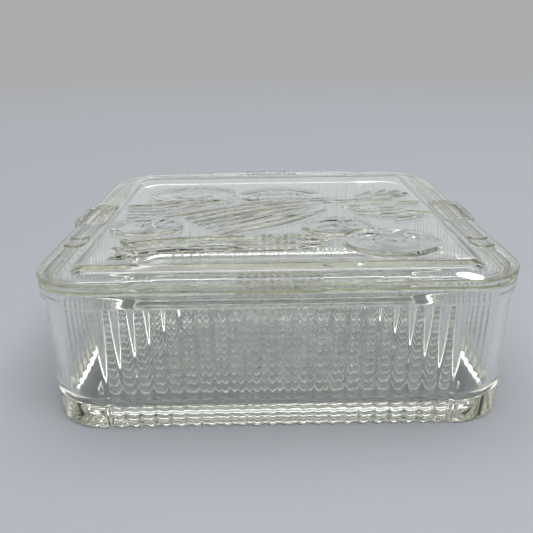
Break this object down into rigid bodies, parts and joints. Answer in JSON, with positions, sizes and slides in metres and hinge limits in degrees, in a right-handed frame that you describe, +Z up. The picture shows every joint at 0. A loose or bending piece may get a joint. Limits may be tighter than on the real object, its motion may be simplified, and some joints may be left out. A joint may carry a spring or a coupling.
{
  "type": "covered dish",
  "caption": "Square pressed clear glass covered dish with ribbed walls and a lift-off lid with grip tabs and a vegetable relief.",
  "frame": {"origin": "on the table under the middle of the dish", "axes": "+Z up, the way the lid lifts; -Y the front side"},
  "size_m": [0.2144, 0.2144, 0.0717],
  "materials": {
    "dish_glass": "clear pressed glass with a faint grey-green tint",
    "lid_glass": "clear pressed glass with a faint grey-green tint"
  },
  "bodies": {
    "dish": {"dish": "dish_glass"},
    "lid": {"lid": "lid_glass"}
  },
  "joints": [
    {"name": "lid_lift", "type": "slide", "parent": "dish", "child": "lid", "axis": [0, 0, 1], "range_m": [0, 0.12]}
  ]
}
